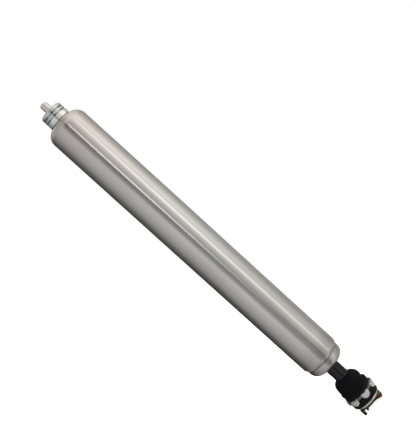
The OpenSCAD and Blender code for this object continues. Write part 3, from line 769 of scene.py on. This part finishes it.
def seam_share(angle, rise, middle):
    """What share of the cloth's light the seam lets through there."""
    at = SEAM_AT - SEAM_LEAN * min(SEAM_ENDS[1], max(SEAM_ENDS[0], rise))
    at += SEAM_LOW_STEP * eased(*SEAM_LOW_FROM, rise) + SEAM_HIGH_STEP * eased(*SEAM_HIGH_FROM, rise)
    half = SEAM_HALF + SEAM_FLARE * eased(*SEAM_FLARE_FROM, rise)
    depth = SEAM_DEPTH + SEAM_LOW_GAIN * eased(*SEAM_LOW_GAIN_FROM, rise)
    depth += SEAM_HIGH_GAIN * eased(*SEAM_HIGH_GAIN_FROM, rise) + SEAM_MID_GAIN * middle
    return 1 - depth * eased(half, 0, abs(angle - at)) * eased(*SEAM_STOPS, abs(rise))


def cloth_at(angle, rise):
    """The cloth's colour at that angle round and that angle of rise, both in degrees."""
    above, below = along(TENT, angle)
    above -= NEAR_FADE * eased(*NEAR_FADE_FROM, rise) * within(NEAR_STRIP, angle)
    above -= SIDE_FADE * eased(*SIDE_FADE_FROM, rise) * within(SIDE_STRIP, angle)
    level = below + (above - below) * eased(*ABOVE_FROM, rise)
    middle = within(MID_HEIGHT, rise)
    level += SIDE_GAIN * middle * within(SIDE_STRIP, angle)
    level += LEFT_GAIN * middle * eased(*LEFT_GAIN_TO, rise) * within(LEFT_STRETCH, angle)
    right = 0.5 + 0.5 * math.sin(math.radians(angle))
    crown = CROWN[0] + (CROWN[1] - CROWN[0]) * right
    under = UNDERFOOT[0] + (UNDERFOOT[1] - UNDERFOOT[0]) * right
    front = eased(*FRONT, abs(angle))
    crown_from = [rise_at + higher * front for rise_at, higher in zip(CROWN_FROM, CROWN_HIGHER)]
    under_from = [rise_at - lower * front for rise_at, lower in zip(UNDERFOOT_FROM, UNDERFOOT_LOWER)]
    level += (crown - level) * eased(*crown_from, rise)
    level += (TOP - level) * eased(*TOP_FROM, rise)
    level += (under - level) * eased(*under_from, rise)
    level *= seam_share(angle, rise, middle)
    warm = within(WARM_STRETCH, angle)
    return (level, level * (1 - WARM_GREEN * warm), level * (1 - WARM_BLUE * warm), 1)


mesh = bpy.data.meshes.new("tent")
bm = bmesh.new()
dye = bm.loops.layers.float_color.new("cloth")
rows = []
for rise in TENT_RISES:
    reach = TENT_RADIUS * math.cos(math.radians(rise))
    level = TENT_MIDDLE + TENT_RADIUS * math.sin(math.radians(rise))
    row = []
    for i in range(TENT_COLUMNS):
        a = math.radians(i - 180)
        row.append(bm.verts.new((reach * math.sin(a), -reach * math.cos(a), level)))
    rows.append(row)
for k, (lower, upper) in enumerate(zip(rows, rows[1:])):
    for i in range(TENT_COLUMNS):
        beside = (i + 1) % TENT_COLUMNS
        face = bm.faces.new((lower[i], lower[beside], upper[beside], upper[i]))
        corners = ((0, 0), (1, 0), (1, 1), (0, 1))
        for loop, (right, up) in zip(face.loops, corners):
            loop[dye] = cloth_at(i - 180 + right, TENT_RISES[k + up])
for ring, rise in ((rows[0], TENT_RISES[0]), (rows[-1], TENT_RISES[-1])):
    face = bm.faces.new(ring)
    for loop in face.loops:
        loop[dye] = cloth_at(0, rise)
bm.to_mesh(mesh)
bm.free()
tent = stand("tent", mesh)
cloth, tree, shader = finish("tent_cloth", (0.8, 0.8, 0.8), 0.0, 0.9)
tree.nodes.remove(shader)
glow = tree.nodes.new("ShaderNodeEmission")
dyed = tree.nodes.new("ShaderNodeVertexColor")
dyed.layer_name = "cloth"
tree.links.new(dyed.outputs["Color"], glow.inputs["Color"])
tree.links.new(glow.outputs["Emission"], tree.nodes["Material Output"].inputs["Surface"])
mesh.materials.append(cloth)
tent.visible_camera = False
tent.visible_diffuse = False
tent.visible_shadow = False

# Studio: floor and backdrop
# Plain white floor at the spring's foot, and a white backdrop. Both read white to the camera, and
# the floor keeps a faint shadow.

FLOOR_RADIUS = 6.0
# Light that the floor adds for the camera and for mirrors, on top of what the lamps give it
FLOOR_GLOW = 0.86
# Strength of the backdrop as a light, and as the camera and mirrors see it
BACKDROP_LIGHT = 0.22
BACKDROP_WHITE = 1.0


def watched(tree, *ways):
    """1 for rays of these kinds, such as those of the camera or of a mirror, and 0 for the others."""
    path = tree.nodes.new("ShaderNodeLightPath")
    kinds = path.outputs[ways[0]]
    for way in ways[1:]:
        either = tree.nodes.new("ShaderNodeMath")
        either.operation = "MAXIMUM"
        tree.links.new(kinds, either.inputs[0])
        tree.links.new(path.outputs[way], either.inputs[1])
        kinds = either.outputs["Value"]
    return kinds


floor_mesh = bpy.data.meshes.new("floor")
bm = bmesh.new()
bmesh.ops.create_circle(bm, cap_ends=True, segments=96, radius=FLOOR_RADIUS)
bm.to_mesh(floor_mesh)
bm.free()
floor = stand("floor", floor_mesh)
paper, tree, shader = finish("floor_paper", (0.8, 0.8, 0.8), 0.0, 0.9)
shader.inputs["Specular IOR Level"].default_value = 0.0
glow = tree.nodes.new("ShaderNodeEmission")
strength = tree.nodes.new("ShaderNodeMath")
strength.operation = "MULTIPLY"
strength.inputs[1].default_value = FLOOR_GLOW
tree.links.new(watched(tree, "Is Camera Ray", "Is Glossy Ray"), strength.inputs[0])
tree.links.new(strength.outputs["Value"], glow.inputs["Strength"])
joined = tree.nodes.new("ShaderNodeAddShader")
tree.links.new(glow.outputs["Emission"], joined.inputs[0])
tree.links.new(shader.outputs["BSDF"], joined.inputs[1])
tree.links.new(joined.outputs["Shader"], tree.nodes["Material Output"].inputs["Surface"])
floor_mesh.materials.append(paper)
floor.visible_glossy = False

world = bpy.data.worlds.new("backdrop")
bpy.context.scene.world = world
world.use_nodes = True
tree = world.node_tree
back = tree.nodes["Background"]
back.inputs["Color"].default_value = (1, 1, 1, 1)
white = watched(tree, "Is Camera Ray", "Is Glossy Ray", "Is Transmission Ray")
tree.links.new(spread(tree, white, BACKDROP_LIGHT, BACKDROP_WHITE, 0, 1), back.inputs["Strength"])

# Studio: lamps
# Three soft boxes, which polished surfaces don't see: a large warm one at the right, a fill at the
# left and one overhead.

AIM = (0, 0, 0.12)


def soft_box(name, at, width, height, power, colour):
    """A rectangular soft lamp that faces the middle of the spring."""
    lamp = bpy.data.lights.new(name, "AREA")
    lamp.shape = "RECTANGLE"
    lamp.size = width
    lamp.size_y = height
    lamp.energy = power
    lamp.color = colour
    box = stand(name, lamp)
    box.location = at
    box.rotation_euler = (Vector(AIM) - Vector(at)).to_track_quat("-Z", "Y").to_euler()
    box.visible_glossy = False


soft_box("key_right", at=(0.9, -0.65, 0.55), width=0.7, height=0.9, power=11, colour=(1, 0.97, 0.93))
soft_box("fill_left", at=(-0.9, -0.6, 0.35), width=0.7, height=0.9, power=4.5, colour=(0.97, 0.98, 1))
soft_box("overhead", at=(0.1, 0.1, 1.2), width=0.8, height=0.8, power=6, colour=(1, 1, 1))

bpy.context.scene.view_settings.view_transform = "Standard"
bpy.context.view_layer.update()
